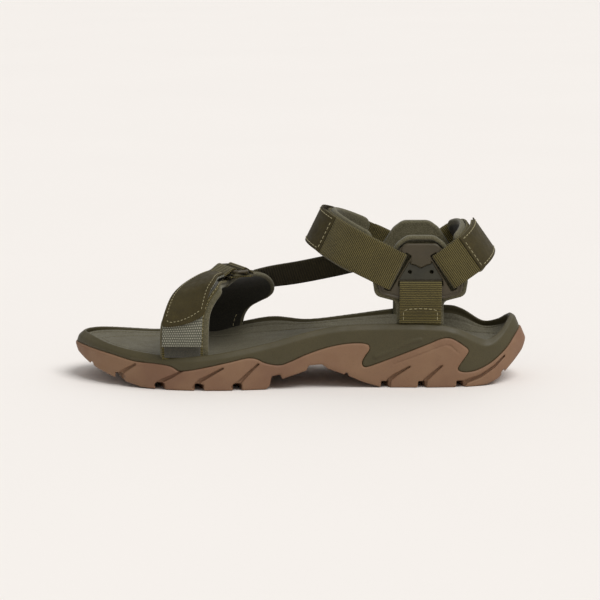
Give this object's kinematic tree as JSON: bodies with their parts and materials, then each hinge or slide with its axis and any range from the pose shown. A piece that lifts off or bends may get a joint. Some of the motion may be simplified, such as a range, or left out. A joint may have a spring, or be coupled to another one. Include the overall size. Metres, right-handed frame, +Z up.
{
  "type": "strappy sport sandal",
  "caption": "Left outdoor sandal with a lugged rubber sole, foam midsole, webbing straps, padded liners and hook-and-loop closures at forefoot, instep and heel.",
  "frame": {"origin": "on the ground under the middle of the sole's bounding box", "axes": "+X from toe to heel, +Y towards the medial (inner) side, +Z up"},
  "size_m": [0.29, 0.1055, 0.1115],
  "materials": {
    "gum_rubber": "matte gum rubber",
    "midsole_foam": "matte moulded foam",
    "footbed_foam": "textured moulded foam",
    "nylon": "moulded nylon",
    "insert_foam": "soft foam",
    "plate_plastic": "satin moulded plastic",
    "webbing": "ribbed woven webbing",
    "grey_webbing": "fine woven webbing",
    "tab_overlay": "smooth synthetic overlay",
    "lining": "knitted lining over foam",
    "loop_pile": "looped pile",
    "hook_tape": "hook tape"
  },
  "bodies": {
    "sole": {"outsole": "gum_rubber", "midsole": "midsole_foam", "footbed": "footbed_foam", "shank": "nylon", "heel_insert": "insert_foam", "lateral_ankle_pad": "lining", "medial_ankle_pad": "lining", "lateral_ankle_plate": "plate_plastic", "medial_ankle_plate": "plate_plastic", "lateral_anchor_webbing": "webbing", "medial_anchor_webbing": "webbing", "instep_lateral_loop": "webbing", "instep_medial_loop": "webbing", "heel_lateral_loop": "webbing", "heel_medial_loop": "webbing", "forefoot_liner": "lining", "forefoot_base_strap": "webbing", "forefoot_loop_patch": "loop_pile", "medial_quarter_liner": "lining", "medial_quarter": "tab_overlay", "forefoot_ring": "plate_plastic", "forefoot_ring_keeper": "webbing", "connecting_strap": "webbing"},
    "forefoot_flap": {"forefoot_hook_patch": "hook_tape", "forefoot_flap_webbing": "grey_webbing", "forefoot_flap_overlay": "tab_overlay"},
    "instep_strap": {"instep_webbing": "webbing", "instep_pad": "lining", "instep_loop_patch": "loop_pile"},
    "instep_tail": {"instep_hook_patch": "hook_tape", "instep_tail_webbing": "webbing", "instep_pull_tab": "tab_overlay"},
    "heel_strap": {"heel_webbing": "webbing", "heel_pad": "lining", "heel_loop_patch": "loop_pile"},
    "heel_tail": {"heel_hook_patch": "hook_tape", "heel_tail_webbing": "webbing", "heel_pull_tab": "tab_overlay"}
  },
  "joints": [
    {"name": "forefoot_flap_hinge", "type": "hinge", "parent": "sole", "child": "forefoot_flap", "pos_m": [-0.0468, -0.0073, 0.0704], "axis": [-0.4226, 0.9063, 0], "range_deg": [0, 140]},
    {"name": "instep_strap_swing", "type": "hinge", "parent": "sole", "child": "instep_strap", "pos_m": [0.06115, 0, 0.0734], "axis": [0, 1, 0], "range_deg": [-12, 12]},
    {"name": "heel_strap_swing", "type": "hinge", "parent": "sole", "child": "heel_strap", "pos_m": [0.08985, 0, 0.0734], "axis": [0, 1, 0], "range_deg": [-12, 12]},
    {"name": "instep_tail_hinge", "type": "hinge", "parent": "instep_strap", "child": "instep_tail", "pos_m": [0.04713, -0.0401, 0.08023], "axis": [0.438, 0, 0.899], "range_deg": [0, 80]},
    {"name": "heel_tail_hinge", "type": "hinge", "parent": "heel_strap", "child": "heel_tail", "pos_m": [0.10263, -0.0402, 0.08235], "axis": [0.5739, 0, -0.8189], "range_deg": [0, 80]}
  ]
}
